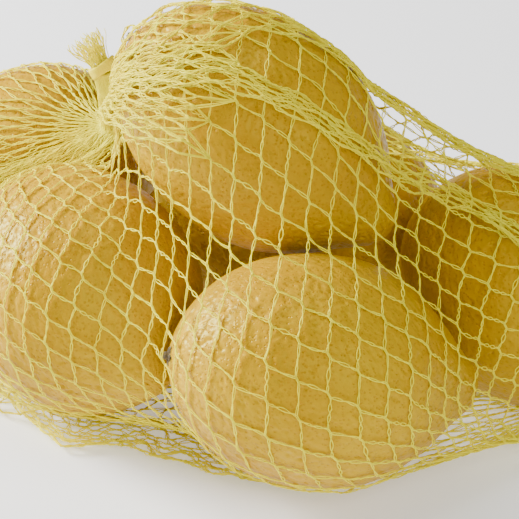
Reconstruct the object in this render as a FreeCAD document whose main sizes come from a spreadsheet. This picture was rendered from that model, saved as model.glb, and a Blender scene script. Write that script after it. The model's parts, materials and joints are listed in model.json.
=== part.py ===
import FreeCAD, Part
import math
import os
from FreeCAD import Placement, Rotation, Vector

# A mesh produce bag: a knitted net sleeve drawn over six lemons and gathered at two necks.
# Frame: +Z up, +X along the bag towards its end neck. The bag lies on the plane Z = 0 and
# the origin is the middle of the rectangle that the bag covers there.

# Each fruit: centre (x, y, z), heading of its axis from stem to tip (degrees from +X towards
# +Y), rise of the axis above the horizontal (degrees), length and diameter.
FRUIT_CELLS = ("x", "y", "z", "heading", "rise", "length", "diameter")
FRUITS = {
    "front": (16.7, -27.7, 32.3, 5.3, -10.3, 82.1, 61.1),
    "left": (-47.4, 9.5, 33.5, -59.5, -9.7, 82.1, 63.9),
    "rear_left": (-63.2, 82.6, 32.9, 18.5, 8.4, 78.0, 62.0),
    "top": (0.2, 17.7, 78.2, -25.9, -28.5, 86.6, 59.1),
    "right": (73.1, 12.6, 32.8, -48.3, -16.1, 79.5, 61.6),
    "rear": (9.0, 59.7, 31.2, 183.5, -1.4, 88.0, 59.3),
}

# The lemon's outline: share of half the length from the middle (-1 stem, +1 tip), and share
# of half the diameter. It is blunt at the stem and drawn out to a nipple at the tip.
MERIDIAN = (
    (-0.985, 0.150),
    (-0.945, 0.320),
    (-0.860, 0.505),
    (-0.720, 0.700),
    (-0.500, 0.880),
    (-0.250, 0.975),
    (0.000, 1.000),
    (0.220, 0.965),
    (0.420, 0.860),
    (0.600, 0.690),
    (0.730, 0.520),
    (0.820, 0.385),
    (0.890, 0.285),
    (0.950, 0.205),
    (0.985, 0.120),
    (1.000, 0.000),
)

DIMENSIONS = {
    # moves the heap so that the origin is under the middle of the bag
    "heap_dx": -19.8,
    "heap_dy": -27.7,
    # hollow at the stem end of a lemon
    "pit_radius": 4.2,
    "pit_depth": 1.0,
    # stem button: a disc with five lobes and a cut stalk
    "button_radius": 2.3,
    "button_thick": 0.8,
    "lobe_radius": 1.2,
    "lobe_reach": 2.5,
    "lobe_thick": 0.6,
    "stub_radius": 1.1,
    "stub_height": 1.3,
    # net skin: air between fruit and net, and thickness
    "skin_gap": 1.15,
    "skin_thick": 0.5,
    "section_points": 40,
    "section_count": 33,
    # neck on top, between the top fruit and the rear left one
    "neck_x": -42.0,
    "neck_y": 54.0,
    "neck_z": 77.2,
    "neck_heading": 160.0,
    "neck_rise": 62.0,
    "dent_reach": 15.0,
    "dent_floor": 54.0,
    "dent_rounds": 4,
    # neck at the end of the sleeve
    "end_x": 119.0,
    "end_y": 12.0,
    "end_z": 21.0,
    # gathered net through a neck, its band and its frayed tuft
    "bundle_radius": 3.4,
    "band_wall": 0.9,
    "band_height": 3.2,
    "neck_lift": 1.4,
    "tuft_length": 9.0,
    "tuft_radius": 6.0,
    "end_tuft_length": 18.0,
    "end_tuft_radius": 7.0,
}


def make_sheet(doc):
    """Spreadsheet with one alias per driving dimension."""
    values = dict(DIMENSIONS)
    for name, numbers in FRUITS.items():
        for cell, number in zip(FRUIT_CELLS, numbers):
            values["fruit_" + name + "_" + cell] = number
    sheet = doc.addObject("Spreadsheet::Sheet", "dims")
    for row, (alias, number) in enumerate(values.items(), start=1):
        sheet.set("A%d" % row, alias)
        sheet.set("B%d" % row, str(number))
        sheet.setAlias("B%d" % row, alias)
    doc.recompute()
    return sheet


def direction(heading, rise):
    """Unit vector from a heading and a rise in degrees."""
    a = math.radians(heading)
    e = math.radians(rise)
    return Vector(math.cos(e) * math.cos(a), math.cos(e) * math.sin(a), math.sin(e))


def turned(axis):
    """Rotation that takes +Z to the axis."""
    return Rotation(Vector(0, 0, 1), axis)


def bind_base(obj, x, y, z):
    """Ties an object's position to expressions over the sheet."""
    obj.setExpression(".Placement.Base.x", x)
    obj.setExpression(".Placement.Base.y", y)
    obj.setExpression(".Placement.Base.z", z)


class Fruit:
    """A lemon's place and size, read from the sheet, with its distance function."""

    def __init__(self, sheet, name):
        self.name = name
        values = {}
        for cell in FRUIT_CELLS:
            values[cell] = sheet.get("fruit_" + name + "_" + cell)
        self.centre = Vector(values["x"] + sheet.heap_dx, values["y"] + sheet.heap_dy, values["z"])
        self.axis = direction(values["heading"], values["rise"])
        self.half = values["length"] / 2.0
        self.radius = values["diameter"] / 2.0

    def placement(self):
        return Placement(self.centre, turned(self.axis))

    def radius_at(self, share):
        """Radius of the lemon at a share of its half length, by straight runs."""
        if share <= MERIDIAN[0][0]:
            return MERIDIAN[0][1] * self.radius if share > -1.0 else -1.0
        if share >= 1.0:
            return -1.0
        for (s0, r0), (s1, r1) in zip(MERIDIAN, MERIDIAN[1:]):
            if share <= s1:
                return self.radius * (r0 + (r1 - r0) * (share - s0) / (s1 - s0))
        return -1.0

    def holds(self, point, gap):
        """True where a point is in the lemon grown by the gap."""
        offset = point - self.centre
        run = offset.dot(self.axis)
        grown = (self.half + gap) / self.half
        reach = self.radius_at(run / self.half / grown)
        if reach < 0:
            return False
        return (offset - self.axis * run).Length < reach + gap

    def skin_points(self, gap, rings=40, sides=36):
        """Points over the lemon grown by the gap."""
        side = self.axis.cross(Vector(0, 0, 1))
        side.normalize()
        up = self.axis.cross(side)
        points = []
        for i in range(rings + 1):
            share = -1.0 + 2.0 * i / rings
            reach = max(self.radius_at(share * 0.999), 0.0) + gap
            ring = self.centre + self.axis * (share * (self.half + gap))
            for j in range(sides):
                a = 2.0 * math.pi * j / sides
                points.append(ring + side * (reach * math.cos(a)) + up * (reach * math.sin(a)))
        return points


def add_fruit(doc, sheet, fruit):
    """Lemon: a spline outline turned about its axis, less the hollow for the stem button."""
    points = []
    for share, reach in MERIDIAN:
        points.append(Vector(reach * fruit.radius, 0, share * fruit.half))
    curve = Part.BSplineCurve()
    curve.interpolate(
        Points=points, InitialTangent=Vector(1, 0, 0.12), FinalTangent=Vector(-1, 0, 0)
    )
    foot = Vector(0, 0, points[0].z)
    edges = [Part.makeLine(foot, points[0]), curve.toShape(), Part.makeLine(points[-1], foot)]
    outline = doc.addObject("Part::Feature", "outline_" + fruit.name)
    outline.Shape = Part.Face(Part.Wire(edges))
    whole = doc.addObject("Part::Revolution", "whole_" + fruit.name)
    whole.Source = outline
    whole.Axis = Vector(0, 0, 1)
    whole.Base = Vector(0, 0, 0)
    whole.Angle = 360
    whole.Solid = True
    pit = doc.addObject("Part::Cylinder", "pit_" + fruit.name)
    pit.setExpression("Radius", "dims.pit_radius")
    pit.setExpression("Height", "dims.pit_depth * 2")
    seat = "%.4f * dims.fruit_%s_length / 2" % (MERIDIAN[0][0], fruit.name)
    pit.setExpression(".Placement.Base.z", seat + " - dims.pit_depth")
    lemon = doc.addObject("Part::Cut", "lemon_" + fruit.name)
    lemon.Base = whole
    lemon.Tool = pit
    lemon.Label = "lemon_" + fruit.name
    lemon.Placement = fruit.placement()
    cell = "dims.fruit_" + fruit.name
    bind_base(lemon, cell + "_x + dims.heap_dx", cell + "_y + dims.heap_dy", cell + "_z")
    return lemon


def attached_sketch(body, name, lift=None):
    """Sketch on the body's own XY plane, lifted by an expression."""
    plane = [f for f in body.Origin.OriginFeatures if f.Role == "XY_Plane"][0]
    sketch = body.newObject("Sketcher::SketchObject", name)
    sketch.AttachmentSupport = [(plane, "")]
    sketch.MapMode = "FlatFace"
    if lift:
        sketch.setExpression(".AttachmentOffset.Base.z", lift)
    return sketch


def circle_sketch(body, name, radius, reach=None):
    """Sketch of one circle with its radius, and its reach along X, tied to the sheet."""
    import Sketcher

    sketch = attached_sketch(body, name)
    start = Vector(2.5 if reach else 0, 0, 0)
    sketch.addGeometry(Part.Circle(start, Vector(0, 0, 1), 1.5), False)
    sketch.addConstraint(Sketcher.Constraint("Radius", 0, 1.5))
    sketch.setExpression("Constraints[0]", radius)
    if reach:
        sketch.addConstraint(Sketcher.Constraint("DistanceX", -1, 1, 0, 3, 2.5))
        sketch.setExpression("Constraints[1]", reach)
        sketch.addConstraint(Sketcher.Constraint("PointOnObject", 0, 3, -1))
    else:
        sketch.addConstraint(Sketcher.Constraint("Coincident", 0, 3, -1, 1))
    return sketch


def padded(body, name, sketch, length):
    pad = body.newObject("PartDesign::Pad", name)
    pad.Profile = sketch
    pad.setExpression("Length", length)
    sketch.Visibility = False
    return pad


def add_button(doc, sheet, fruit):
    """Stem button in the lemon's hollow: disc, five lobes and a cut stalk."""
    tag = fruit.name
    body = doc.addObject("PartDesign::Body", "calyx_" + tag)
    body.Label = "calyx_" + tag
    disc = circle_sketch(body, "disc_sketch_" + tag, "dims.button_radius")
    padded(body, "disc_" + tag, disc, "dims.button_thick")
    doc.recompute()
    lobe = circle_sketch(body, "lobe_sketch_" + tag, "dims.lobe_radius", "dims.lobe_reach")
    lobe_pad = padded(body, "lobe_" + tag, lobe, "dims.lobe_thick")
    doc.recompute()
    pattern = body.newObject("PartDesign::PolarPattern", "lobes_" + tag)
    pattern.Originals = [lobe_pad]
    z_axis = [f for f in body.Origin.OriginFeatures if f.Role == "Z_Axis"][0]
    pattern.Axis = (z_axis, [""])
    pattern.Angle = 360
    pattern.Occurrences = 5
    body.Tip = pattern
    doc.recompute()
    stub = circle_sketch(body, "stub_sketch_" + tag, "dims.stub_radius")
    stub_pad = padded(body, "stub_" + tag, stub, "dims.stub_height")
    body.Tip = stub_pad
    # the button stands on the floor of the hollow and points out of the stem end
    floor = fruit.half * MERIDIAN[0][0] + sheet.pit_depth
    seat = fruit.centre + fruit.axis * floor
    body.Placement = Placement(seat, turned(fruit.axis * -1.0))
    return body


def upper_envelope(pairs, stations):
    """Concave envelope of (x, height) pairs, read at the stations."""
    chain = []
    for x, height in sorted(pairs):
        while len(chain) > 1:
            (x1, h1), (x2, h2) = chain[-2], chain[-1]
            if (h2 - h1) * (x - x1) <= (height - h1) * (x2 - x1):
                chain.pop()
            else:
                break
        chain.append((x, height))
    heights = []
    k = 0
    for x in stations:
        while k < len(chain) - 2 and chain[k + 1][0] < x:
            k += 1
        (x1, h1), (x2, h2) = chain[k], chain[k + 1]
        heights.append(h1 + (h2 - h1) * (x - x1) / (x2 - x1) if x2 > x1 else max(h1, h2))
    return heights


def taut_sections(sheet, fruits, gap):
    """Sections at X stations of the skin stretched over the fruits and the end neck.

    Gives the stations, the middle of each section and its radii at equal angles.
    """
    sides = int(sheet.section_points)
    cloud = []
    for fruit in fruits:
        cloud += fruit.skin_points(gap)
    end = Vector(sheet.end_x + sheet.heap_dx, sheet.end_y + sheet.heap_dy, sheet.end_z)
    for j in range(36):
        a = math.radians(10.0 * j)
        reach = sheet.bundle_radius + gap - sheet.skin_gap
        cloud.append(end + Vector(0, reach * math.cos(a), reach * math.sin(a)))
    low = min(p.x for p in cloud) + 0.6
    high = end.x
    count = int(sheet.section_count)
    stations = []
    for i in range(count):
        share = 0.5 - 0.5 * math.cos(math.pi * i / (count - 1))
        stations.append(low + (high - low) * share)
    fan = []
    heights = []
    for j in range(3 * sides):
        a = 2.0 * math.pi * j / (3 * sides)
        fan.append(a)
        pairs = [(p.x, p.y * math.cos(a) + p.z * math.sin(a)) for p in cloud]
        heights.append(upper_envelope(pairs, stations))
    middles = []
    radii = []
    quarter = (3 * sides) // 4
    for i in range(count):
        right = heights[0][i]
        left = -heights[2 * quarter][i]
        top = heights[quarter][i]
        bottom = -heights[3 * quarter][i]
        y0 = (right + left) / 2.0
        z0 = (top + bottom) / 2.0
        row = []
        for j in range(sides):
            b = 2.0 * math.pi * j / sides
            reach = 1e9
            for a, line in zip(fan, heights):
                c = math.cos(a - b)
                if c > 0.05:
                    reach = min(reach, (line[i] - y0 * math.cos(a) - z0 * math.sin(a)) / c)
            row.append(reach)
        middles.append((y0, z0))
        radii.append(row)
    return stations, middles, radii


def section_point(x, middle, reach, angle):
    return Vector(x, middle[0] + reach * math.cos(angle), middle[1] + reach * math.sin(angle))


def free_depth(fruits, gap, x, middle, reach, angle, deepest):
    """How far a point of the skin can be drawn inwards before it meets a fruit."""
    depth = 0.0
    while depth < deepest:
        trial = section_point(x, middle, reach - depth - 0.5, angle)
        if any(f.holds(trial, gap) for f in fruits):
            break
        depth += 0.5
    return depth


def press_in_neck(sheet, fruits, gap, stations, middles, radii):
    """Draws the skin down to the top neck, as far as the fruits under it allow."""
    neck = Vector(sheet.neck_x + sheet.heap_dx, sheet.neck_y + sheet.heap_dy, sheet.neck_z)
    sides = len(radii[0])
    wanted = {}
    free = {}
    for i, x in enumerate(stations):
        if abs(x - neck.x) > 3.0 * sheet.dent_reach:
            continue
        for j in range(sides // 2):
            angle = 2.0 * math.pi * j / sides
            point = section_point(x, middles[i], radii[i][j], angle)
            flat = math.hypot(point.x - neck.x, point.y - neck.y)
            drop = (point.z - sheet.dent_floor) * math.exp(-((flat / sheet.dent_reach) ** 2))
            wanted[i, j] = max(drop * math.sin(angle), 0.0)
            free[i, j] = free_depth(fruits, gap, x, middles[i], radii[i][j], angle, 26.0)
    depth = {}
    for key in wanted:
        depth[key] = min(wanted[key], free[key])
    # even out the drawn-in part both ways, never deeper than the fruits allow
    for _ in range(int(sheet.dent_rounds)):
        old = dict(depth)
        for i, j in depth:
            around = 0.0
            for key in ((i - 1, j), (i + 1, j), (i, j - 1), (i, j + 1)):
                around += old.get(key, 0.0)
            depth[i, j] = min(0.5 * old[i, j] + 0.125 * around, free[i, j])
    for i, j in depth:
        radii[i][j] -= depth[i, j]
    return radii


def eased(radii, rounds):
    """Evens the radii between neighbours along each section; only outward at hollows."""
    for _ in range(rounds):
        for row in radii:
            old = list(row)
            for j in range(len(row)):
                even = (old[j - 1] + 2.0 * old[j] + old[(j + 1) % len(row)]) / 4.0
                row[j] = max(old[j], even)
    return radii


def skin_solid(stations, middles, radii):
    """Solid through closed spline sections that share their knots, with flat ends."""
    sides = len(radii[0])
    knots = [j / sides for j in range(sides + 1)]
    wires = []
    for x, middle, row in zip(stations, middles, radii):
        points = []
        for j, reach in enumerate(row):
            points.append(section_point(x, middle, reach, 2.0 * math.pi * j / sides))
        curve = Part.BSplineCurve()
        curve.interpolate(Points=points, PeriodicFlag=True, Parameters=knots)
        wires.append(Part.Wire([curve.toShape()]))
    return Part.makeLoft(wires, True, False, False)


def inner_skin(sheet, stations, middles, radii):
    """The sections of the skin's inside, one thickness in along the surface normal."""
    thick = sheet.skin_thick
    sides = len(radii[0])
    last = len(stations) - 1
    grid = []
    for x, middle, row in zip(stations, middles, radii):
        ring = [section_point(x, middle, r, 2.0 * math.pi * j / sides) for j, r in enumerate(row)]
        grid.append(ring)
    inner = []
    for i in range(last + 1):
        row = []
        for j in range(sides):
            angle = 2.0 * math.pi * j / sides
            spoke = Vector(0, math.cos(angle), math.sin(angle))
            run = grid[min(i + 1, last)][j] - grid[max(i - 1, 0)][j]
            turn = grid[i][(j + 1) % sides] - grid[i][j - 1]
            normal = run.cross(turn)
            normal.normalize()
            facing = max(abs(normal.dot(spoke)), 0.4)
            row.append(max(radii[i][j] - thick / facing, 0.5))
        inner.append(row)
    shifted = [stations[0] + thick] + stations[1:last] + [stations[last] - thick]
    return shifted, middles, inner


def add_sleeve(doc, sheet, fruits):
    """Net sleeve: a thin closed skin, flat where it lies on the ground."""
    stations, middles, radii = taut_sections(sheet, fruits, sheet.skin_gap + sheet.skin_thick)
    radii = eased(radii, 2)
    radii = press_in_neck(sheet, fruits, sheet.skin_gap + 2.0, stations, middles, radii)
    outer = doc.addObject("Part::Feature", "skin_outer")
    outer.Shape = skin_solid(stations, middles, radii)
    inner = doc.addObject("Part::Feature", "skin_inner")
    inner.Shape = skin_solid(*inner_skin(sheet, stations, middles, radii))
    forms = [outer, inner]
    trimmed = []
    for form, floor in zip(forms, ("0", "dims.skin_thick")):
        ground = doc.addObject("Part::Box", form.Name + "_ground")
        ground.Length = 600
        ground.Width = 600
        ground.Height = 100
        ground.Placement.Base = Vector(-300, -300, -100)
        ground.setExpression(".Placement.Base.z", floor + " - 100")
        cut = doc.addObject("Part::Cut", form.Name + "_flat")
        cut.Base = form
        cut.Tool = ground
        trimmed.append(cut)
    sleeve = doc.addObject("Part::Cut", "net_sleeve")
    sleeve.Base = trimmed[0]
    sleeve.Tool = trimmed[1]
    sleeve.Label = "net_sleeve"
    return sleeve


def add_neck(doc, sheet, tag, foot, axis, length, flare):
    """Gathered net beyond the sleeve: a bundle that frays into a tuft, and its band."""
    bundle = doc.addObject("Part::Cylinder", "bundle_" + tag)
    bundle.setExpression("Radius", "dims.bundle_radius")
    bundle.setExpression("Height", "dims.neck_lift * 2 + dims.band_height")
    fray = doc.addObject("Part::Cone", "fray_" + tag)
    fray.setExpression("Radius1", "dims.bundle_radius")
    fray.setExpression("Radius2", flare)
    fray.setExpression("Height", length)
    fray.setExpression(".Placement.Base.z", "dims.neck_lift * 2 + dims.band_height")
    tuft = doc.addObject("Part::Fuse", "tuft_" + tag)
    tuft.Base = bundle
    tuft.Tool = fray
    tuft.Label = "tuft_" + tag
    tuft.Placement = Placement(foot, turned(axis))
    round_outer = doc.addObject("Part::Cylinder", "band_outer_" + tag)
    round_outer.setExpression("Radius", "dims.bundle_radius + dims.band_wall")
    round_outer.setExpression("Height", "dims.band_height")
    round_inner = doc.addObject("Part::Cylinder", "band_inner_" + tag)
    round_inner.setExpression("Radius", "dims.bundle_radius")
    round_inner.setExpression("Height", "dims.band_height")
    band = doc.addObject("Part::Cut", "band_" + tag)
    band.Base = round_outer
    band.Tool = round_inner
    band.Label = "band_" + tag
    band.Placement = Placement(foot + axis * sheet.neck_lift, turned(axis))
    return [tuft, band]


def add_necks(doc, sheet):
    top = Vector(sheet.neck_x + sheet.heap_dx, sheet.neck_y + sheet.heap_dy, sheet.neck_z)
    top_axis = direction(sheet.neck_heading, sheet.neck_rise)
    made = add_neck(doc, sheet, "top", top, top_axis, "dims.tuft_length", "dims.tuft_radius")
    end = Vector(sheet.end_x + sheet.heap_dx, sheet.end_y + sheet.heap_dy, sheet.end_z)
    made += add_neck(
        doc, sheet, "end", end, Vector(1, 0, 0), "dims.end_tuft_length", "dims.end_tuft_radius"
    )
    return made


def check(doc, nodes):
    for obj in doc.Objects:
        if "Invalid" in obj.State or "Error" in obj.State:
            raise RuntimeError(obj.Name + " failed: " + str(obj.State))
    for node in nodes:
        if node.Shape.isNull() or not node.Shape.isValid():
            raise RuntimeError(node.Label + " has no valid shape")


def main():
    doc = FreeCAD.newDocument("mesh_produce_bag")
    sheet = make_sheet(doc)
    fruits = [Fruit(sheet, name) for name in FRUITS]
    nodes = [add_sleeve(doc, sheet, fruits)]
    nodes += add_necks(doc, sheet)
    for fruit in fruits:
        nodes.append(add_fruit(doc, sheet, fruit))
        nodes.append(add_button(doc, sheet, fruit))
    doc.recompute()
    check(doc, nodes)
    os.makedirs("parts", exist_ok=True)
    for node in nodes:
        node.Shape.exportStep("parts/" + node.Label + ".step")
        box = node.Shape.BoundBox
        print(
            "%-18s x %7.1f..%6.1f y %7.1f..%6.1f z %6.1f..%6.1f volume %.0f"
            % (node.Label, box.XMin, box.XMax, box.YMin, box.YMax, box.ZMin, box.ZMax, node.Shape.Volume)
        )


main()
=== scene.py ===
"""Visual model of a mesh produce bag full of lemons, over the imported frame.

Lengths in this script are millimetres in the row frame, and become metres when a mesh is made.
"""

import json
import math

import bpy
import numpy as np
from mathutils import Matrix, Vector


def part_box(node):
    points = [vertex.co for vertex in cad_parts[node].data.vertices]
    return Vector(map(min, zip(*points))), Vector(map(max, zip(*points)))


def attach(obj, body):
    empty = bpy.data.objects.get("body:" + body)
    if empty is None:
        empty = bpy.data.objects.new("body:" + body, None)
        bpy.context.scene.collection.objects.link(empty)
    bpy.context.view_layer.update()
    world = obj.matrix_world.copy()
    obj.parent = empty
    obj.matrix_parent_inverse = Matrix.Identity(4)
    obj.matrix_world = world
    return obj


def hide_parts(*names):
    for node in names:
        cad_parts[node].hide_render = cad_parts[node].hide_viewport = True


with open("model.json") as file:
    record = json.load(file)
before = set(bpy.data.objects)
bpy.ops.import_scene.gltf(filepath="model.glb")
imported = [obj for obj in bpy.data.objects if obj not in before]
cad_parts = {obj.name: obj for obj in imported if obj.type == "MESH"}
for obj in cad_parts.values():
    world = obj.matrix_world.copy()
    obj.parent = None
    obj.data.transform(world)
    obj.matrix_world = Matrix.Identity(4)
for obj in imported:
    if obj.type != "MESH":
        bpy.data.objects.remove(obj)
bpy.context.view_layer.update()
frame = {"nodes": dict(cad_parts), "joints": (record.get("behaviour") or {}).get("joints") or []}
rng = np.random.default_rng(41)

MM = 0.001
FRUITS = ("front", "left", "rear_left", "top", "right", "rear")
# a lemon's outline from stem to tip: (share of half its length, share of its radius)
MERIDIAN = np.array(
    [
        (-1.000, 0.000), (-0.985, 0.150), (-0.945, 0.320), (-0.860, 0.505), (-0.720, 0.700),
        (-0.500, 0.880), (-0.250, 0.975), (0.000, 1.000), (0.220, 0.965), (0.420, 0.860),
        (0.600, 0.690), (0.730, 0.520), (0.820, 0.385), (0.890, 0.285), (0.950, 0.205),
        (0.985, 0.120), (1.000, 0.000),
    ]
)  # fmt: skip


def unit(v):
    """v, or each row of v, at length 1."""
    v = np.asarray(v, float)
    return v / np.maximum(np.linalg.norm(v, axis=-1, keepdims=True), 1e-9)


def across(axis, towards):
    """The unit vector square to axis that leans most towards another one."""
    towards = np.asarray(towards, float)
    return unit(towards - (towards @ axis) * axis)


def spline(stops, steps):
    """A smooth curve through the stops, with steps points on each stretch between two of them."""
    ends = np.vstack([2 * stops[0] - stops[1], stops, 2 * stops[-1] - stops[-2]])
    share = np.linspace(0, 1, steps, endpoint=False)[:, None]
    out = []
    for k in range(1, len(ends) - 2):
        p0, p1, p2, p3 = ends[k - 1 : k + 3]
        curve = 2 * p1 + (p2 - p0) * share + (2 * p0 - 5 * p1 + 4 * p2 - p3) * share**2
        out.append(0.5 * (curve + (3 * p1 - p0 - 3 * p2 + p3) * share**3))
    out.append(stops[-1:])
    return np.vstack(out)


# ---------------------------------------------------------------- meshes


def mesh_object(name, points, faces, smooth=True):
    """An object made of points in millimetres and an (n, 3) or (n, 4) table of faces."""
    mesh = bpy.data.meshes.new(name)
    corners = faces.shape[1]
    mesh.vertices.add(len(points))
    mesh.vertices.foreach_set("co", np.ascontiguousarray(points * MM, np.float32).ravel())
    mesh.loops.add(faces.size)
    mesh.loops.foreach_set("vertex_index", np.ascontiguousarray(faces, np.int32).ravel())
    mesh.polygons.add(len(faces))
    mesh.polygons.foreach_set("loop_start", np.arange(0, faces.size, corners, dtype=np.int32))
    mesh.update(calc_edges=True)
    mesh.polygons.foreach_set("use_smooth", np.full(len(faces), smooth))
    mesh.validate()
    obj = bpy.data.objects.new(name, mesh)
    bpy.context.scene.collection.objects.link(obj)
    return obj


def tube_mesh(paths, normals, radii, sides):
    """Points and triangles of closed tubes. paths is (tubes, stations, 3), radii (tubes, stations)."""
    tubes, stations = paths.shape[:2]
    along = np.empty_like(paths)
    along[:, 1:-1] = paths[:, 2:] - paths[:, :-2]
    along[:, 0] = paths[:, 1] - paths[:, 0]
    along[:, -1] = paths[:, -1] - paths[:, -2]
    along = unit(along)
    up = unit(normals - (normals * along).sum(-1, keepdims=True) * along)
    side = np.cross(along, up)
    turn = 2 * math.pi * np.arange(sides) / sides
    ring = (
        np.cos(turn)[None, None, :, None] * up[:, :, None]
        + np.sin(turn)[None, None, :, None] * side[:, :, None]
    )
    points = paths[:, :, None] + ring * radii[:, :, None, None]
    index = np.arange(tubes * stations * sides).reshape(tubes, stations, sides)
    a, b = index[:, :-1], index[:, 1:]
    a2, b2 = np.roll(a, -1, axis=2), np.roll(b, -1, axis=2)
    walls = np.stack([np.stack([a, a2, b2], -1), np.stack([a, b2, b], -1)], -2).reshape(-1, 3)
    fan = np.arange(1, sides - 1)
    first, last = index[:, 0], index[:, -1]
    caps = [
        np.stack([first[:, [0] * len(fan)], first[:, fan + 1], first[:, fan]], -1).reshape(-1, 3),
        np.stack([last[:, [0] * len(fan)], last[:, fan], last[:, fan + 1]], -1).reshape(-1, 3),
    ]
    return points.reshape(-1, 3), np.concatenate([walls, *caps])


# ---------------------------------------------------------------- lemons


TABLE_SHAPE = (150, 90)  # steps along a fruit's axis and out from it
TABLE_REACH = 16.0  # how far the distance table goes beyond the skin
FAR = 50.0


class Lemon:
    """One fruit: its place from the frame, its outline, and the distance from its skin."""

    def __init__(self, name):
        self.name = name
        joint = next(j for j in frame["joints"] if j["name"] == f"roll_{name}")
        self.body = f"fruit_{name}"
        self.centre = np.array(joint["pos_m"]) / MM
        self.axis = unit(joint["axis"])
        mesh = frame["nodes"][f"lemon_{name}"].data
        points = np.empty(len(mesh.vertices) * 3, np.float32)
        mesh.vertices.foreach_get("co", points)
        points = points.reshape(-1, 3) / MM - self.centre
        station = points @ self.axis
        self.half = float(np.abs(station).max())
        self.radius = float(np.linalg.norm(points - station[:, None] * self.axis, axis=1).max())
        self.side = across(self.axis, (0.0, 0.0, 1.0))
        self.third = np.cross(self.axis, self.side)
        # (station, radius) points from stem to tip
        self.outline = spline(MERIDIAN * (self.half, self.radius), 24)
        self.outline[:, 1] = np.maximum(self.outline[:, 1], 0)
        self._fill_table()

    def _fill_table(self):
        """Signed distance to the skin on a grid of (station, radius)."""
        self.stations = np.linspace(-self.half - TABLE_REACH, self.half + TABLE_REACH, TABLE_SHAPE[0])
        self.radii = np.linspace(0, self.radius + TABLE_REACH, TABLE_SHAPE[1])
        grid = np.stack(np.meshgrid(self.stations, self.radii, indexing="ij"), -1).reshape(-1, 2)
        gaps = ((grid[:, None] - self.outline[None, ::3]) ** 2).sum(-1).min(1)
        skin = np.interp(grid[:, 0], self.outline[:, 0], self.outline[:, 1], left=-1, right=-1)
        sign = np.where(grid[:, 1] < skin, -1, 1)
        self.table = (np.sqrt(gaps) * sign).reshape(TABLE_SHAPE)

    def distance(self, points):
        """Distance from the skin to each point (FAR beyond the table), and the way out."""
        offset = points - self.centre
        station = offset @ self.axis
        out = offset - station[:, None] * self.axis
        radius = np.linalg.norm(out, axis=1)
        row = (station - self.stations[0]) / (self.stations[1] - self.stations[0])
        column = radius / self.radii[1]
        near = (row > 0) & (row < TABLE_SHAPE[0] - 1.1) & (column < TABLE_SHAPE[1] - 1.1)
        result = np.full(len(points), FAR)
        normal = np.zeros_like(points)
        i, j = row[near].astype(int), column[near].astype(int)
        u, v = row[near] - i, column[near] - j
        a, b = self.table[i, j], self.table[i + 1, j]
        c, d = self.table[i, j + 1], self.table[i + 1, j + 1]
        result[near] = a * (1 - u) * (1 - v) + b * u * (1 - v) + c * (1 - u) * v + d * u * v
        slope_along = ((b - a) * (1 - v) + (d - c) * v) / (self.stations[1] - self.stations[0])
        slope_out = ((c - a) * (1 - u) + (d - b) * u) / self.radii[1]
        outward = out[near] / np.maximum(radius[near], 1e-6)[:, None]
        normal[near] = unit(slope_along[:, None] * self.axis + slope_out[:, None] * outward)
        return result, normal

    def stem_end(self):
        """The middle of the stem end."""
        return self.centre - self.axis * self.half


lemons = [Lemon(name) for name in FRUITS]
DENTS = 26
PORES = 3.4  # for each square millimetre of an outline's length times its radius
RIB_DEPTH = 0.42


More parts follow.
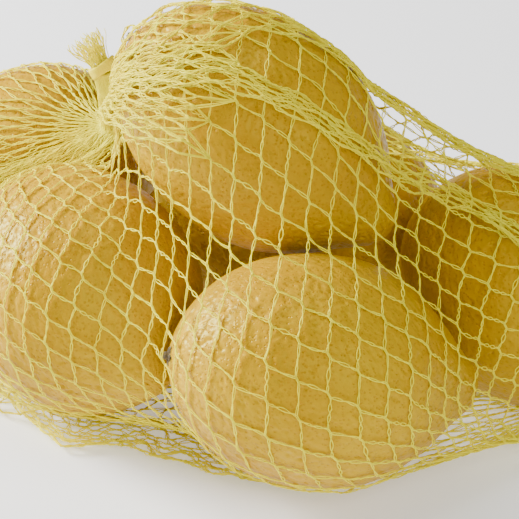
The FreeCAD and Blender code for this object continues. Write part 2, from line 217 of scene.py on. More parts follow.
def lemon_mesh(fruit, seed, rows=236, columns=400):
    """The fruit's skin: its outline turned round, with shallow dents and pores pressed in."""
    random = np.random.default_rng(seed)
    outline = fruit.outline
    run = np.r_[0, np.cumsum(np.linalg.norm(np.diff(outline, axis=0), axis=1))]
    at = np.linspace(0, run[-1], rows)
    station = np.interp(at, run, outline[:, 0])
    radius = np.interp(at, run, outline[:, 1])
    turn = 2 * math.pi * np.arange(columns) / columns
    slope = np.gradient(station) + 1j * np.gradient(radius)
    slope /= np.abs(slope)
    depth = np.zeros((rows, columns))
    # broad dents and flats
    share = at / run[-1]
    for _ in range(DENTS):
        where, about = random.uniform(0.08, 0.92), random.uniform(0, 2 * math.pi)
        spread = random.uniform(0.05, 0.14)
        turned = np.angle(np.exp(1j * (turn - about))) / (2.2 * math.pi * spread)
        dent = np.exp(-(((share - where) / spread) ** 2)[:, None] - (turned**2)[None])
        depth += random.uniform(0.03, 0.16) * dent
    # long soft ribs that fade in at the two ends
    ribs = sum(
        random.uniform(0.4, 1) * np.cos(k * turn + random.uniform(0, 6.3)) for k in (3, 4, 5, 7)
    )
    ends = np.clip((np.abs(station) / fruit.half - 0.66) / 0.28, 0, 1) ** 1.5
    ends *= np.clip(radius / (0.20 * fruit.radius), 0, 1)
    depth += RIB_DEPTH * ends[:, None] * (0.5 + 0.16 * ribs[None])
    # pores: small round pits, one row of the grid is about 0.4 mm
    pores = int(PORES * run[-1] * fruit.radius)
    row_of = np.searchsorted(
        np.cumsum(radius) / radius.sum(), random.uniform(0, 1, pores)
    ).clip(4, rows - 5)
    column_of = random.uniform(0, columns, pores)
    row_at = row_of + random.uniform(-0.5, 0.5, pores)
    size = random.uniform(0.36, 0.62, pores)
    deep = random.uniform(0.08, 0.24, pores)
    step_along = run[-1] / (rows - 1)
    for i in range(-3, 4):
        rows_hit = (row_of + i).clip(0, rows - 1)
        along = (rows_hit - row_at) * step_along
        step_round = 2 * math.pi * np.maximum(radius[rows_hit], 2.0) / columns
        for j in range(-5, 6):
            columns_hit = np.floor(column_of).astype(int) + j
            round_ = (columns_hit - column_of) * step_round
            pit = deep * np.exp(-(along**2 + round_**2) / size**2)
            np.add.at(depth, (rows_hit, columns_hit % columns), pit)
    depth *= np.clip(radius / 1.5, 0, 1)[:, None]
    r = radius[:, None] - depth * slope.real[:, None]
    s = station[:, None] + depth * slope.imag[:, None]
    r = np.maximum(r, 0.0)
    points = (
        fruit.centre
        + s[..., None] * fruit.axis
        + (r * np.cos(turn))[..., None] * fruit.side
        + (r * np.sin(turn))[..., None] * fruit.third
    )
    poles = [points[0].mean(0), points[-1].mean(0)]
    body = points[1:-1].reshape(-1, 3)
    index = np.arange(len(body)).reshape(rows - 2, columns)
    a, b = index[:-1], index[1:]
    a2, b2 = np.roll(a, -1, axis=1), np.roll(b, -1, axis=1)
    walls = np.stack([np.stack([a, a2, b2], -1), np.stack([a, b2, b], -1)], -2).reshape(-1, 3)
    low, high = len(body), len(body) + 1
    first, last = index[0], index[-1]
    caps = [
        np.stack([np.full(columns, low), np.roll(first, -1), first], -1),
        np.stack([np.full(columns, high), last, np.roll(last, -1)], -1),
    ]
    points = np.vstack([body, poles])
    return points, np.concatenate([walls, *caps])[:, ::-1]


# ---------------------------------------------------------------- the net's shape


def neck_of(band, tuft):
    """Centre of a band, and the way the net leaves through it, from the frame's boxes."""
    low, high = (np.array(v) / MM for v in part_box(band))
    centre = (low + high) / 2
    low, high = (np.array(v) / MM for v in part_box(tuft))
    return centre, unit((low + high) / 2 - centre)


HEAP_CENTRE = np.array([-18.0, 0.0, 44.0])
top_neck, top_way = neck_of("band_top", "tuft_top")
end_neck, end_way = neck_of("band_end", "tuft_end")
NECK_RADIUS = 2.9
COLUMNS, ROWS = 84, 43  # mesh cells round the net and along it
SIDE = 7.6  # the side of a mesh cell
GATHER = np.array([-60.5, 30.0, 61.0])  # where the net is first drawn together, under the top neck
GATHER_RADIUS = 4.2
BUNCH_ROWS = 3
SACK_HALF_AXES = np.array([118.0, 92.0, 74.0])  # the loose sack that the net starts as
SACK_POLE = np.array([0.35, 0.3, -0.9])  # the way from the heap to the sack's lower pole
SACK_TWIST = -3.2
ROUNDS = 700
KNOT_GAP, KNOT_FLOOR = 0.75, 0.4  # a knot's least distance from a fruit's skin and from the floor


def start_net(columns, rows, half_axes, under, twist):
    """Knots (rows + 1, columns, 3) on an ellipsoid round the heap, along circles that run from the
    top neck to a place under the heap, turned by twist on the way."""
    north = unit(GATHER - HEAP_CENTRE)
    first = across(north, unit(under))
    second = np.cross(north, first)
    far = math.tan(math.acos(float(unit(under) @ north)) / 2)
    latitude = np.linspace(-6, 6, 400)
    knots = np.zeros((rows + 1, columns, 3))
    for odd in (0, 1):
        for k in range(columns):
            turn = 2 * math.pi * (k + 0.5 * odd) / columns + twist / (1 + np.exp(-latitude))
            w = np.exp(latitude) * np.exp(1j * turn)
            z = w / (1 + w / far)
            polar, about = 2 * np.arctan(np.abs(z)), np.angle(z)
            way = (
                (np.sin(polar) * np.cos(about))[:, None] * first
                + (np.sin(polar) * np.sin(about))[:, None] * second
                + np.cos(polar)[:, None] * north
            )
            path = HEAP_CENTRE + way / np.linalg.norm(way / half_axes, axis=1)[:, None]
            run = np.r_[0, np.cumsum(np.linalg.norm(np.diff(path, axis=0), axis=1))]
            at = np.arange(rows + 1) / rows * run[-1]
            knots[odd::2, k] = np.stack([np.interp(at, run, path[:, c]) for c in range(3)], 1)[odd::2]
    return knots, first


def ring_of(centre, way, start, sense, count, radius):
    """count points round a neck, from the direction start."""
    u = across(way, start)
    v = np.cross(way, u) * sense
    turn = 2 * math.pi * np.arange(count) / count
    return centre + radius * (np.cos(turn)[:, None] * u + np.sin(turn)[:, None] * v)


def push_out(points, gap, floor, props=(), ropes=()):
    """Moves points that are closer than gap to a fruit, under the floor, or inside a ball (props) or
    a round bar (ropes)."""
    for rope, radius in ropes:
        inside = ((points > rope.min(0) - radius) & (points < rope.max(0) + radius)).all(1)
        picked = np.flatnonzero(inside)
        if len(picked):
            offset = points[picked, None] - rope[None]
            nearest = (offset**2).sum(-1).argmin(1)
            offset = offset[np.arange(len(picked)), nearest]
            away = np.linalg.norm(offset, axis=1)
            close = away < radius
            moved = rope[nearest[close]] + unit(offset[close]) * radius
            points[picked[close]] = moved
    for fruit in lemons:
        distance, normal = fruit.distance(points)
        close = distance < gap
        points[close] += (gap - distance[close])[:, None] * normal[close]
    for centre, radius in props:
        offset = points - centre
        distance = np.linalg.norm(offset, axis=1)
        close = distance < radius
        points[close] = centre + offset[close] / distance[close][:, None] * radius
    points[:, 2] = np.maximum(points[:, 2], floor)


def smooth_way(stops, spacing):
    """Points about spacing apart on a smooth curve through the stops."""
    curve = spline(np.asarray(stops, float), 20)
    run = np.r_[0, np.cumsum(np.linalg.norm(np.diff(curve, axis=0), axis=1))]
    at = np.linspace(0, run[-1], int(round(run[-1] / spacing)) + 1)
    return np.stack([np.interp(at, run, curve[:, c]) for c in range(curve.shape[1])], 1)


def relax_net(columns, rows, side, rounds, half_axes, under, twist, ropes=()):
    """Lets the net draw tight over the heap. Returns its knots."""
    random = np.random.default_rng(3)
    knots, first = start_net(columns, rows, half_axes, under, twist)
    bunch = []
    for row in range(BUNCH_ROWS + 1):
        share = row / BUNCH_ROWS
        place = top_neck * (1 - share) + GATHER * share
        place = place + 0.9 * math.sin(math.pi * share) * np.array([1.0, -1.0, 0.0])
        radius = NECK_RADIUS * (1 - share) + GATHER_RADIUS * share
        bunch.append(ring_of(place, unit(top_neck - GATHER), first, 1, columns, radius))
    top_ring = np.concatenate(bunch)
    last_rows = knots[rows - 2] - end_neck
    u = across(end_way, last_rows[0])
    angle = np.unwrap(np.arctan2(last_rows @ np.cross(end_way, u), last_rows @ u))
    sense = np.sign(angle[-1] - angle[0])
    end_ring = ring_of(end_neck, end_way, last_rows[0], sense, columns, NECK_RADIUS)
    index = np.arange((rows + 1) * columns).reshape(rows + 1, columns)
    upper, lower = [], []
    for row in range(rows):
        shift = 1 if row % 2 == 0 else -1
        upper += [index[row], index[row]]
        lower += [index[row + 1], np.roll(index[row + 1], shift)]
    upper, lower = np.concatenate(upper), np.concatenate(lower)
    uneven = 0.05
    rest = side * (1 + uneven * random.standard_normal(len(upper)))
    points = knots.reshape(-1, 3).copy()
    start = points.copy()
    speed = np.zeros_like(points)
    pinned = np.r_[index[: BUNCH_ROWS + 1].ravel(), index[rows]]
    target = np.vstack([top_ring, end_ring])
    weight, tension = 0.06, 0.012  # what pulls a knot down, and what shortens each side, every round
    stretch, slack = 0.5, 0.06  # how much of a side's excess or lack of length is put right
    grip = 0.92  # the share of a slide that friction takes away
    kept, carry, top_speed = 0.75, 0.9, 2.0
    eased = 0.9
    drawn_in = 150  # rounds until the pinned knots are in their necks
    for step in range(rounds):
        held = start[pinned] + (target - start[pinned]) * min(1, step / drawn_in)
        before = points.copy()
        points = points + carry * speed
        points[:, 2] -= weight
        for part in range(3):
            span = points[lower] - points[upper]
            length = np.linalg.norm(span, axis=1)
            strain = (length - rest) / np.maximum(length, 1e-6)
            pull = (0.5 * np.where(strain > 0, stretch, slack) * strain + tension)[:, None] * span
            for c in range(3):
                points[:, c] += eased * (
                    np.bincount(upper, pull[:, c], len(points))
                    - np.bincount(lower, pull[:, c], len(points))
                )
            points[pinned] = held
            if part != 1:
                push_out(points, KNOT_GAP, KNOT_FLOOR, ropes=ropes)
        moved = points - before
        normal = np.zeros_like(points)
        for fruit in lemons:
            distance, way = fruit.distance(points)
            touched = distance < KNOT_GAP + 0.05
            normal[touched] = way[touched]
        normal[points[:, 2] < KNOT_FLOOR + 0.1] = (0, 0, 1)
        normal[pinned] = 0
        touching = (normal != 0).any(1)
        off = (moved * normal).sum(1)[:, None] * normal
        slid = before + off + (1 - grip) * (moved - off)
        points = np.where(touching[:, None], slid, points)
        speed = (points - before) * kept
        fast = np.linalg.norm(speed, axis=1)
        speed *= np.minimum(1, top_speed / np.maximum(fast, 1e-9))[:, None]
    return points.reshape(rows + 1, columns, 3)


# round bars that prop the net while it draws tight: along its loose edge on the floor at the front
# left, and along the stretch that hangs free between the top lemon and the right one
ROPE_STEP = 1.5
skirt = [
    (-92, -10, 0), (-86, -18, 0), (-78, -29, 0), (-70, -39, 0), (-59, -37, 0),
    (-49, -42, 0), (-41, -48, 0), (-32, -50, 0), (-23, -55, 0), (-14, -61, 0),
]  # fmt: skip
ridge = [(5, -11, 86), (15, -8, 80), (22, -8, 75), (29, -7, 70), (37, -6, 64), (44, -4, 58)]
ropes = [(smooth_way(skirt, ROPE_STEP), 4.0), (smooth_way(ridge, ROPE_STEP), 6.0)]
knots = relax_net(COLUMNS, ROWS, SIDE, ROUNDS, SACK_HALF_AXES, SACK_POLE, SACK_TWIST, ropes)


# ---------------------------------------------------------------- strands

FILAMENT = 0.16  # a filament's radius
FILAMENT_SIDES = 5
SAMPLES = 9  # stations along one side of a cell
SKIN_GAP, FOLD_GAP, FLOOR_GAP = 0.16, 0.5, 0.05  # free space beside a filament
JOINT, END_JOINT = 0.75, 0.2  # half the length of a knot, in the net and at its two ends
CROSS_LIFT = 0.15  # how far a strand goes over or under the one it crosses
BOW, KINK = 0.22, 0.05  # spread of a side's bow and of a filament's kinks
FILAMENT_REACH = (0.22, 0.50)  # from the middle of a strand to each of its two filaments
LAYER_GAP = 0.6


def grid_normals(knots):
    """The outward normal at each knot, from its neighbours on the tube."""
    rows = len(knots)
    along = np.empty_like(knots)
    along[1:-1] = knots[2:] - knots[:-2]
    along[0], along[-1] = knots[1] - knots[0], knots[-1] - knots[-2]
    round_ = np.roll(knots, -1, axis=1) - np.roll(knots, 1, axis=1)
    normal = np.cross(round_, along)
    centre = knots.reshape(-1, 3).mean(0)
    if (normal * (knots - centre)).sum() < 0:
        normal = -normal
    out = unit(normal)
    for row in (0, rows - 1):
        out[row] = unit(knots[row] - knots[row].mean(0))
    return out, unit(along)


def folded_strip(stops, columns, spacing, gap, uneven, out=None):
    """Knots of a narrow part of the net that is drawn together and folded flat: the stops are
    (x, y, z, half width), and the columns go out on one layer and back on the other. The layers
    lie one over the other along out, which is away from the heap where it isn't given. A strip
    with its own way out is one that is pressed flat on the floor."""
    way = smooth_way(stops, spacing)
    centre, width = way[:, :3], way[:, 3]
    tangent = unit(np.gradient(centre, axis=0))
    pressed = out is not None
    if pressed:
        out = np.tile(np.asarray(out, float), (len(centre), 1))
    else:
        out = unit(centre - HEAP_CENTRE)
    out = unit(out - (out * tangent).sum(1, keepdims=True) * tangent)
    side = np.cross(out, tangent)
    random = np.random.default_rng(8)
    rows = len(centre) - 1
    turn = 2 * math.pi * (np.arange(columns)[None] + 0.5 * (np.arange(rows + 1) % 2)[:, None]) / columns
    # a strip that is pressed flat on the floor has most of its strands at its two edges
    sway = np.cos(turn) if pressed else np.arcsin(np.cos(turn)) / (math.pi / 2)
    spread = width[:, None] * sway * (1 + uneven * random.standard_normal((rows + 1, columns)))
    spread += 0.35 * random.standard_normal((rows + 1, columns))
    spread += uneven * width[:, None] * random.standard_normal((rows + 1, 1))
    lift = 0.5 + 0.5 * np.sin(turn)
    knots = centre[:, None] + spread[..., None] * side[:, None] + lift[..., None] * out[:, None]
    flat = knots.reshape(-1, 3)
    push_out(flat, gap, KNOT_FLOOR + 0.1)
    knots = flat.reshape(knots.shape)
    return knots + lift[..., None] * out[:, None] * LAYER_GAP


def strand_paths(knots, family, random):
    """Two filaments for each strand of one family: paths and normals (2 * columns, stations, 3)."""
    rows, columns = knots.shape[0] - 1, knots.shape[1]
    normal, along = grid_normals(knots)
    column = np.arange(columns)
    visits = [column]
    for row in range(rows):
        if family == 0:
            column = column if row % 2 == 0 else (column + 1) % columns
        else:
            column = (column - 1) % columns if row % 2 == 0 else column
        visits.append(column)
    visits = np.array(visits)
    level = np.arange(rows + 1)[:, None]
    at = knots[level, visits]
    out = normal[level, visits]
    way = along[level, visits]
    joint = np.full(rows + 1, JOINT)
    joint[:3] = joint[-3:] = END_JOINT
    joint = joint[:, None, None] * (0.75 + 0.5 * random.random((rows + 1, columns, 1)))
    sign = 1 if family == 0 else -1
    lift = sign * CROSS_LIFT * np.where(level % 2 == 0, 1, -1)[..., None]
    entry, leave = at - way * joint + out * lift, at + way * joint - out * lift
    share = np.linspace(0, 1, SAMPLES)
    stations, normals = [], []
    for row in range(rows):
        a, b = leave[row], entry[row + 1]
        bow = random.normal(0, BOW, (columns, 1))
        cross = unit(np.cross(b - a, out[row]))
        for s in share:
            bulge = math.sin(math.pi * s)
            stations.append(a + (b - a) * s + cross * bow * bulge)
            normals.append(out[row] * (1 - s) + out[row + 1] * s)
    path = np.array(stations).swapaxes(0, 1)
    out = unit(np.array(normals).swapaxes(0, 1))
    tangent = unit(np.gradient(path, axis=1))
    side = unit(np.cross(tangent, out))
    total = path.shape[1]
    phase = np.tile(share, rows)
    swell = np.sin(math.pi * phase) ** 0.8
    amount = random.uniform(*FILAMENT_REACH, (columns, rows)).repeat(SAMPLES, axis=1)
    amount = FILAMENT + (amount - FILAMENT) * swell[None]
    half_turns = random.choice([1, 1, 2, 2, 3], (columns, rows))
    base = np.concatenate([np.zeros((columns, 1)), np.cumsum(half_turns, axis=1)[:, :-1]], axis=1)
    twist = math.pi * (base.repeat(SAMPLES, axis=1) + half_turns.repeat(SAMPLES, axis=1) * phase[None])
    edge = np.arange(total)
    taper = np.clip(np.minimum(edge, total - 1 - edge) / (2.0 * SAMPLES), 0.15, 1)
    amount = amount * taper
    offset = (amount * np.cos(twist))[..., None] * side + (0.55 * amount * np.sin(twist))[..., None] * out
    kinks = KINK * random.standard_normal((2 * columns, total, 3)) * taper[None, :, None]
    paths = np.concatenate([path + offset, path - offset]) + kinks
    return paths, np.concatenate([out, out])


BUTTON_REACH = 3.2  # radius of the ball at each stem end that the net keeps out of


def settle_strands(paths, gap, floor):
    """Keeps filaments out of the fruit and its stem buttons, and off the floor."""
    flat = paths.reshape(-1, 3)
    buttons = [(fruit.stem_end(), BUTTON_REACH) for fruit in lemons]
    for _ in range(2):
        push_out(flat, gap, floor, buttons)
    return flat.reshape(paths.shape)


def filament_object(name, paths, normals):
    """A piece of the net: its filaments as tubes, each a little thicker or thinner than the next."""
    thickness = 1 + 0.10 * rng.standard_normal((len(paths), 1))
    radii = FILAMENT * thickness * np.ones(paths.shape[1])
    points, faces = tube_mesh(paths, normals, radii, FILAMENT_SIDES)
    return mesh_object(f"net_{name}", points, faces)


strand_sets = []
for family in (0, 1):
    paths, normals = strand_paths(knots, family, rng)
    paths = settle_strands(paths, FILAMENT + SKIN_GAP, FILAMENT + FLOOR_GAP)
    strand_sets.append((paths, normals))

GROUPS = 4
net_objects = []
for family, (paths, normals) in enumerate(strand_sets):
    columns = len(paths) // 2
    for group in range(GROUPS):
        low, high = group * columns // GROUPS, (group + 1) * columns // GROUPS
        pick = np.r_[low:high, columns + low : columns + high]
        name = f"strands_{'ab'[family]}{group + 1}"
        net_objects.append(filament_object(name, paths[pick], normals[pick]))

# folds where spare net lies over itself: columns, spacing of the rows, unevenness, way from one
# layer to the other, and (x, y, z, half width) along each
folds = {
    # from the gather over the left shoulder of the top lemon, then down to the right
    "pleat": (6, 7.1, 0.06, None, [
        (-60, 27, 66, 2.5), (-57, 10, 78, 3), (-53, -8, 91, 4), (-45, -19, 100, 5), (-35, -25, 104, 5),
        (-24, -29, 103, 4), (-9, -33, 97, 3.2), (3, -32, 88, 3), (15, -26, 76, 3.5), (27, -20, 67, 4.5),
        (38, -24, 62, 5), (50, -34, 58, 5), (66, -36, 50, 5), (82, -28, 38, 4), (94, -18, 25, 3),
    ]),
    # over the top lemon's crown, then hanging free to the right one
    "crown": (6, 7.1, 0.06, None, [
        (-60, 27, 66, 2.5), (-58, 14, 78, 5), (-53, -3, 91, 9), (-44, -8, 100, 12), (-30, -8, 106.5, 11),
        (-14, -7, 106.5, 6), (-2, -8, 100.5, 3.5), (8, -8, 91.5, 2.5), (18, -8, 84.5, 2), (32, -8, 74.5, 2),
        (47, -8, 66, 2.5), (62, -10, 58, 3), (78, -14, 44, 3), (92, -18, 28, 3),
    ]),
    # the fan that spreads from the gather over the top lemon's left shoulder
    "shoulder": (20, 6.6, 0.025, None, [
        (-60, 27, 66, 2.5), (-59, 12, 77, 4.5), (-57, -5, 88, 8), (-52, -16, 94, 12),
        (-45, -23, 97, 15), (-37, -28, 98, 17), (-29, -31, 99, 18),
    ]),
    # the loose edge of the net that lies on the floor at the front left
    "skirt": (9, 5.6, 0.10, (0, 0, 1), [
        (-84, 24, 1.3, 3), (-93, 10, 1.3, 5), (-94, -2, 1.3, 6), (-88.6, -13, 1.3, 6),
        (-82.5, -20.5, 1.3, 6), (-76.3, -30.4, 1.3, 7), (-69, -38, 1.3, 7), (-59.6, -36.7, 1.3, 7),
        (-52.9, -37.5, 1.3, 7), (-45.9, -42.5, 1.3, 7), (-38, -46.5, 1.3, 7), (-29, -50.5, 1.3, 6.5),
        (-19.1, -56.5, 1.3, 5.5), (-9, -60.5, 1.3, 4), (2, -60, 1.3, 2.5),
    ]),
}  # fmt: skip
STRIP_GAP = 0.9
fold_sizes = {}
for name, (columns, spacing, uneven, way, stops) in folds.items():
    strip = folded_strip(stops, columns, spacing, STRIP_GAP, uneven, way)
    rows = len(strip) - 1
    fold_sizes[name] = (columns, rows * spacing)
    # a fold starts in the gather, and its other end is tied to the nearest knots of the net
    loose_ends = (0, rows) if name == "skirt" else (rows,)
    for row in loose_ends:
        for k in range(columns):
            away = ((knots - strip[row, k]) ** 2).sum(-1)
            strip[row, k] = knots[np.unravel_index(away.argmin(), away.shape)]
    paths, normals = [], []
    for family in (0, 1):
        path, normal = strand_paths(strip, family, rng)
        paths.append(settle_strands(path, FILAMENT + FOLD_GAP, FILAMENT + FLOOR_GAP))
        normals.append(normal)
    paths, normals = np.concatenate(paths), np.concatenate(normals)
    net_objects.append(filament_object(name, paths, normals))

# ---------------------------------------------------------------- necks


TUFT_ROOT = 2.75  # radius of the bundle of filaments inside a band


def tuft_mesh(centre, way, length, flare, count, seed):
    """The cut end of the net beyond a band: filaments that fray out and curl."""
    random = np.random.default_rng(seed)
    u = across(way, (0.3, 0.2, 1.0))
    v = np.cross(way, u)
    station = np.linspace(0, 1, 18)
    turn = random.uniform(0, 2 * math.pi, count)
    start = TUFT_ROOT * np.sqrt(random.uniform(0.02, 1, count))
    reach = length * random.uniform(0.62, 1.02, count)
    open_ = random.uniform(0.5, 1.0, count) * flare / TUFT_ROOT
    along = -1.5 + (reach + 1.5)[:, None] * station
    share = np.clip(along / length, 0, 1)
    radius = start[:, None] * (1 + (open_[:, None] - 1) * share**1.3)
    curl = sum(
        random.normal(0, 0.55 / k, (count, 1, 2))
        * np.sin(k * 2.4 * station[None, :, None] + random.uniform(0, 6.3, (count, 1, 2)))
        for k in (1, 2, 3, 5)
    ) * share[..., None] ** 0.8 * 2.2
    x = radius * np.cos(turn)[:, None] + curl[..., 0]
    y = radius * np.sin(turn)[:, None] + curl[..., 1]
    bend = share**2 * random.normal(0, 1.2, (count, 1))
    paths = centre + x[..., None] * u + y[..., None] * v + (along - 0.5 * bend)[..., None] * way
    normals = np.broadcast_to(u + 0.3 * v, paths.shape)
    radii = FILAMENT * (1 + 0.15 * random.standard_normal((count, 1))) * (1 - 0.25 * station)[None]
    return tube_mesh(paths, normals, radii, 6)


def band_mesh(centre, way, inner, wall, height, seed, rings=26, columns=120):
    """A ring of net that has been melted smooth: thick, rounded and a little uneven."""
    random = np.random.default_rng(seed)
    u = across(way, (0.2, 0.5, 1.0))
    v = np.cross(way, u)
    turn = 2 * math.pi * np.arange(columns) / columns
    around = 2 * math.pi * np.arange(rings) / rings
    swell = sum(random.normal(0, 0.07) * np.cos(k * turn + random.uniform(0, 6.3)) for k in range(2, 9))
    ridges = 0.05 * np.cos(34 * turn + 1.5 * np.sin(3 * turn))
    corner = 0.55
    x = np.sign(np.cos(around)) * np.abs(np.cos(around)) ** corner * wall / 2
    z = np.sign(np.sin(around)) * np.abs(np.sin(around)) ** corner * height / 2
    outer = (np.cos(around) > 0)[:, None] * (swell + ridges)[None]
    radius = inner + wall / 2 + x[:, None] + outer
    tall = z[:, None] * (1 + 0.10 * np.cos(2 * turn + 0.7) + 0.05 * np.cos(5 * turn))[None]
    points = (
        centre
        + (radius * np.cos(turn))[..., None] * u
        + (radius * np.sin(turn))[..., None] * v
        + tall[..., None] * way
    )
    index = np.arange(rings * columns).reshape(rings, columns)
    a, b = index, np.roll(index, -1, axis=0)
    faces = np.stack([a, np.roll(a, -1, axis=1), np.roll(b, -1, axis=1), b], -1).reshape(-1, 4)
    return points.reshape(-1, 3), faces


neck_objects = []
for name, place, way, length, flare, count in (
    ("top", top_neck, top_way, 10.5, 6.6, 90),
    ("end", end_neck, end_way, 20.0, 7.4, 110),
):
    points, faces = tuft_mesh(place, way, length, flare, count, seed=len(name) + count)
    tuft = mesh_object(f"tuft_{name}_filaments", points, faces)
    points, faces = band_mesh(place, way, inner=3.0, wall=1.25, height=3.2, seed=count)
    band = mesh_object(f"band_{name}_melted", points, faces)
    neck_objects.append((name, tuft, band))

# ---------------------------------------------------------------- stem buttons


BUTTON_RADIUS = 2.35


def button_mesh(fruit, seed, rings=30, columns=140):
    """The woody star that is left on a lemon's stem end, with the broken stub in its middle."""
    random = np.random.default_rng(seed)
    seat = fruit.centre - fruit.axis * (fruit.half - 0.55)
    out = -fruit.axis
    u, v = fruit.side, np.cross(out, fruit.side)
    turn = 2 * math.pi * np.arange(columns) / columns
    lobes = BUTTON_RADIUS + 0.42 * np.cos(5 * turn + 0.4) + sum(
        random.normal(0, 0.05) * np.cos(k * turn + random.uniform(0, 6.3)) for k in (2, 3, 7, 11)
    )
    share = np.linspace(0, 1, rings)
    # the section from the stub's centre out over the star and back under its rim
    marks = [0, 0.16, 0.24, 0.34, 0.70, 0.86, 0.93, 1]
    section_r = np.interp(share, marks, [0, 0.30, 0.42, 0.50, 0.90, 1.0, 0.98, 0.30])
    section_z = np.interp(share, marks, [1.75, 1.85, 1.62, 0.62, 0.42, 0.16, -0.12, -0.35])
    round_part = np.clip((section_r - 0.42) / 0.3, 0, 1)[:, None]
    radius = section_r[:, None] * (lobes[None] * round_part + BUTTON_RADIUS * (1 - round_part))
    grain = 0.07 * np.cos(23 * turn + 3 * np.sin(2 * turn))[None] * np.clip(section_r * 2, 0, 1)[:, None]
    height = section_z[:, None] + grain + 0.10 * np.cos(5 * turn + 0.4)[None] * round_part
    height[:8] += 0.16 * random.standard_normal((8, 1)) * np.cos(turn + seed)[None]
    points = seat + (radius * np.cos(turn))[..., None] * u + (radius * np.sin(turn))[..., None] * v
    points = points + height[..., None] * out
    index = np.arange(rings * columns).reshape(rings, columns)
    a, b = index[:-1], index[1:]
    faces = np.stack([a, b, np.roll(b, -1, axis=1), np.roll(a, -1, axis=1)], -1).reshape(-1, 4)
    return points.reshape(-1, 3), faces


button_objects = []
for number, fruit in enumerate(lemons):
    points, faces = button_mesh(fruit, 60 + number)
    button_objects.append(mesh_object(f"stem_button_{fruit.name}", points, faces))

# ---------------------------------------------------------------- materials


class Shader:
    """A material being built: nodes by type, links by socket name."""

    def __init__(self, name):
        self.material = bpy.data.materials.new(name)
        self.material.use_nodes = True
        self.tree = self.material.node_tree
        self.tree.nodes.clear()

    def node(self, kind, **inputs):
        """A new node. Each input is a value or another node's output, by socket name."""
        made = self.tree.nodes.new(kind)
        for key, value in inputs.items():
            socket = made.inputs[key.replace("_", " ")]
            if isinstance(value, bpy.types.NodeSocket):
                self.tree.links.new(value, socket)
            else:
                socket.default_value = value
        return made

    def noise(self, scale, detail=3.0, roughness=0.55):
        """A noise texture that stays on the piece as it moves."""
        where = self.node("ShaderNodeTexCoord").outputs["Object"]
        return self.node(
            "ShaderNodeTexNoise", Vector=where, Scale=scale, Detail=detail, Roughness=roughness
        )

    def ramp(self, factor, stops):
        """A colour for each factor, from (position, colour) stops."""
        made = self.tree.nodes.new("ShaderNodeValToRGB")
        elements = made.color_ramp.elements
        while len(elements) < len(stops):
            elements.new(0.5)
        for element, (at, color) in zip(elements, stops):
            element.position = at
            element.color = (*color, 1) if len(color) == 3 else (color[0],) * 3 + (1,)
        self.tree.links.new(factor, made.inputs[0])
        return made.outputs["Color"]

    def finish(self, shader):
        """The material, with shader as its surface."""
        out = self.node("ShaderNodeOutputMaterial")
        self.tree.links.new(shader, out.inputs["Surface"])
        return self.material


def peel_material(name, seed):
    """Lemon peel: golden, with painted shade that darkens its fine pits, and a waxy shine."""
    s = Shader(name)
    where = s.node("ShaderNodeTexCoord").outputs["Object"]
    broad = s.node("ShaderNodeTexNoise", Vector=where, Scale=30.0 + seed, Detail=3.0).outputs["Fac"]
    golden = [(0.30, (0.49, 0.255, 0.0)), (0.50, (0.54, 0.31, 0.0)), (0.72, (0.59, 0.365, 0.0))]
    color = s.ramp(broad, golden)
    cells = s.node("ShaderNodeTexVoronoi", Vector=where, Scale=900.0, Randomness=1.0)
    pits = s.ramp(cells.outputs["Distance"], [(0.0, (0.0,)), (0.34, (1.0,))])
    # painted shade: the colour is multiplied darker and more orange towards the middle of each pore cell,
    # where the bump sinks the pits
    painted_pit_shade = s.ramp(cells.outputs["Distance"], [(0.10, (0.86, 0.78, 0.7)), (0.45, (1.0, 1.0, 1.0))])
    shade_in_pits = s.node("ShaderNodeMix")
    shade_in_pits.data_type = "RGBA"
    shade_in_pits.blend_type = "MULTIPLY"
    shade_in_pits.inputs[0].default_value = 1.0
    s.tree.links.new(color, shade_in_pits.inputs[6])
    s.tree.links.new(painted_pit_shade, shade_in_pits.inputs[7])
    color = shade_in_pits.outputs[2]
    fine = s.node("ShaderNodeTexNoise", Vector=where, Scale=1500.0, Detail=2.0).outputs["Fac"]
    mix = s.node("ShaderNodeMix", Factor=0.25)
    mix.data_type = "FLOAT"
    s.tree.links.new(pits, mix.inputs[2])
    s.tree.links.new(fine, mix.inputs[3])
    bump = s.node("ShaderNodeBump", Strength=0.75, Distance=0.0003, Height=mix.outputs[0])
    rough = s.node("ShaderNodeMapRange", Value=broad)
    rough.inputs["To Min"].default_value = 0.30
    rough.inputs["To Max"].default_value = 0.40
    skin = s.node("ShaderNodeBsdfPrincipled", Base_Color=color, Normal=bump.outputs[0])
    s.tree.links.new(rough.outputs[0], skin.inputs["Roughness"])
    skin.inputs["Subsurface Weight"].default_value = 0.12
    skin.inputs["Subsurface Radius"].default_value = (1.0, 0.55, 0.08)
    skin.inputs["Subsurface Scale"].default_value = 0.004
    skin.inputs["Specular IOR Level"].default_value = 0.34
    skin.inputs["Specular Tint"].default_value = (0.90, 1.0, 0.10, 1.0)
    return s.finish(skin.outputs[0])


def stem_material():
    """Dry brown wood of a stem button."""
    s = Shader("stem_wood")
    patch = s.noise(900.0, 4.0).outputs["Fac"]
    brown = [(0.3, (0.05, 0.032, 0.01)), (0.6, (0.12, 0.085, 0.03)), (0.8, (0.18, 0.15, 0.05))]
    color = s.ramp(patch, brown)
    grain = s.noise(3200.0, 3.0).outputs["Fac"]
    bump = s.node("ShaderNodeBump", Strength=0.6, Distance=0.00015, Height=grain)
    skin = s.node("ShaderNodeBsdfPrincipled", Base_Color=color, Roughness=0.72, Normal=bump.outputs[0])
    return s.finish(skin.outputs[0])


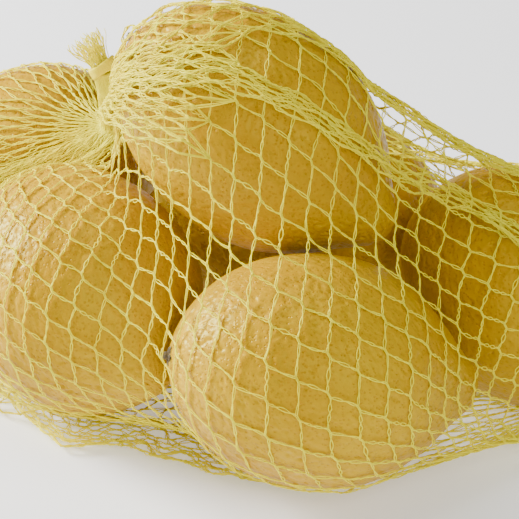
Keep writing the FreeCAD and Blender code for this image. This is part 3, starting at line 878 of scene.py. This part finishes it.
def plastic_material(name, deep, light, roughness, through):
    """Net plastic between two tints, with the share of light that goes through it."""
    s = Shader(name)
    tint = s.noise(90.0).outputs["Fac"]
    color = s.ramp(tint, [(0.3, deep), (0.7, light)])
    fine = s.noise(2600.0, 2.0).outputs["Fac"]
    bump = s.node("ShaderNodeBump", Strength=0.25, Distance=0.00006, Height=fine)
    skin = s.node("ShaderNodeBsdfPrincipled", Base_Color=color, Normal=bump.outputs[0])
    skin.inputs["Roughness"].default_value = roughness
    skin.inputs["Specular IOR Level"].default_value = 0.3
    skin.inputs["Specular Tint"].default_value = (1.0, 1.0, 0.5, 1.0)
    glow = s.node("ShaderNodeBsdfTranslucent", Color=color)
    both = s.node("ShaderNodeMixShader", Fac=through)
    s.tree.links.new(skin.outputs[0], both.inputs[1])
    s.tree.links.new(glow.outputs[0], both.inputs[2])
    return s.finish(both.outputs[0])


net_material = plastic_material("net_yellow", (1.0, 0.85, 0.0), (1.0, 0.94, 0.02), 0.36, 0.16)
band_material = plastic_material("melted_band", (0.95, 0.76, 0.0), (1.0, 0.86, 0.02), 0.34, 0.15)

for obj in net_objects:
    obj.data.materials.append(net_material)
    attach(obj, "bag")
    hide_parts("net_sleeve")
# the net lies flat as a strip about 430 mm round and 280 mm long, and its strands cover half of that
NET_FLAT = (0.430, 0.280)
for obj in net_objects[: 2 * GROUPS]:
    share = 1 / (2 * GROUPS)
    width = NET_FLAT[0] * share
for obj, (columns, run) in zip(net_objects[2 * GROUPS :], fold_sizes.values()):
    width, length = NET_FLAT[0] * columns / COLUMNS, run * MM
for name, tuft, band in neck_objects:
    for obj, material, cad, slot in (
        (tuft, net_material, f"tuft_{name}", "net"),
        (band, band_material, f"band_{name}", "band"),
    ):
        obj.data.materials.append(material)
        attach(obj, "bag")
        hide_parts(cad)
stem = stem_material()
for fruit, obj in zip(lemons, button_objects):
    obj.data.materials.append(stem)
    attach(obj, fruit.body)
    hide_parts(f"calyx_{fruit.name}")

for number, fruit in enumerate(lemons):
    points, faces = lemon_mesh(fruit, 100 + number)
    obj = mesh_object(f"lemon_skin_{fruit.name}", points, faces)
    obj.data.materials.append(peel_material(f"peel_{fruit.name}", number))
    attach(obj, fruit.body)
    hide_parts(f"lemon_{fruit.name}")

# ---------------------------------------------------------------- room and camera

floor_material = Shader("pale_floor")
speck = floor_material.noise(9.0).outputs["Fac"]
pale = floor_material.ramp(speck, [(0.3, (0.90, 0.90, 0.90)), (0.7, (0.93, 0.93, 0.93))])
matt = floor_material.node("ShaderNodeBsdfPrincipled", Base_Color=pale, Roughness=0.75)
matt.inputs["Emission Color"].default_value = (1, 1, 1, 1)
matt.inputs["Emission Strength"].default_value = 0.4
bpy.ops.mesh.primitive_plane_add(size=12.0, location=(0, 0, -0.0002))
floor = bpy.context.object
floor.name = "floor"
floor.data.materials.append(floor_material.finish(matt.outputs[0]))


def softbox(name, place, aim, size, power):
    """A white square light at place that faces aim."""
    light = bpy.data.lights.new(name, "AREA")
    light.shape = "RECTANGLE"
    light.size, light.size_y = size
    light.energy = power
    lamp = bpy.data.objects.new(name, light)
    bpy.context.scene.collection.objects.link(lamp)
    lamp.location = place
    lamp.rotation_euler = (Vector(aim) - Vector(place)).to_track_quat("-Z", "Y").to_euler()
    return lamp


middle = (0.0, 0.0, 0.05)
key = softbox("key", (-0.95, 0.32, 0.52), middle, (0.42, 0.42), 40.0)
fill = softbox("fill", (0.30, -1.1, 0.80), middle, (0.9, 0.9), 10.0)
top = softbox("top", (-0.15, 0.1, 1.25), middle, (0.7, 0.7), 5.0)

world = bpy.data.worlds.new("studio")
world.use_nodes = True
world.node_tree.nodes["Background"].inputs["Color"].default_value = (1, 1, 1, 1)
world.node_tree.nodes["Background"].inputs["Strength"].default_value = 0.22
bpy.context.scene.world = world

lens = bpy.data.cameras.new("camera")
lens.sensor_width = 36.0
lens.lens = 183.1
lens.clip_start, lens.clip_end = 0.01, 20.0
camera = bpy.data.objects.new("camera", lens)
camera.location = (-0.0198, -0.6339, 0.4000)
aim = Vector((-0.0198, -0.0277, 0.0500)) - camera.location
camera.rotation_euler = aim.to_track_quat("-Z", "Y").to_euler()
bpy.context.scene.collection.objects.link(camera)
bpy.context.scene.camera = camera
